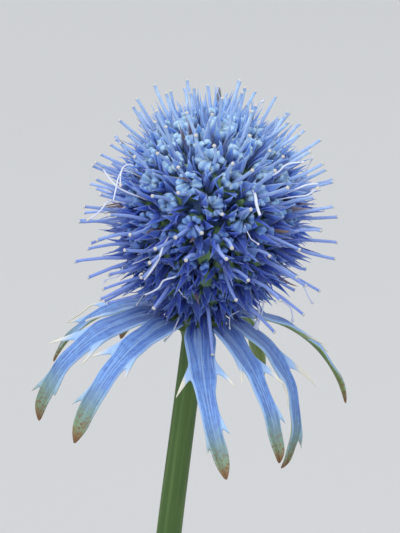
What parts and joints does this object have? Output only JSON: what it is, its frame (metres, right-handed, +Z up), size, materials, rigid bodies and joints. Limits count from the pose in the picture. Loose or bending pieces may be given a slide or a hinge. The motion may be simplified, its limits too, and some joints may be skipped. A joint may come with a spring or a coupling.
{
  "type": "sea holly in a bottle",
  "caption": "Spiny blue flower head with long styles over a ruff of toothed bracts, on a bare leaning stem in water in a small clear glass bottle with a rolled lip.",
  "frame": {"origin": "middle of the bottle's foot, on the surface that it stands on", "axes": "+Z up along the bottle's axis; the stem leans towards +X; -Y is the side that the picture shows"},
  "size_m": [0.0429, 0.0368, 0.1353],
  "materials": {
    "clear_glass": "clear polished glass",
    "water": "clear water",
    "stem_green": "satin green plant stem",
    "floret_blue": "matt violet-blue florets",
    "bract_blue": "leathery blue bract"
  },
  "bodies": {
    "root": {"bottle": "clear_glass", "water": "water", "stem": "stem_green", "head": "floret_blue", "bract_front": "bract_blue", "bract_front_right": "bract_blue", "bract_right": "bract_blue", "bract_back_right": "bract_blue", "bract_back": "bract_blue", "bract_back_left": "bract_blue", "bract_left_behind": "bract_blue", "bract_left": "bract_blue", "bract_front_left": "bract_blue"}
  },
  "joints": []
}
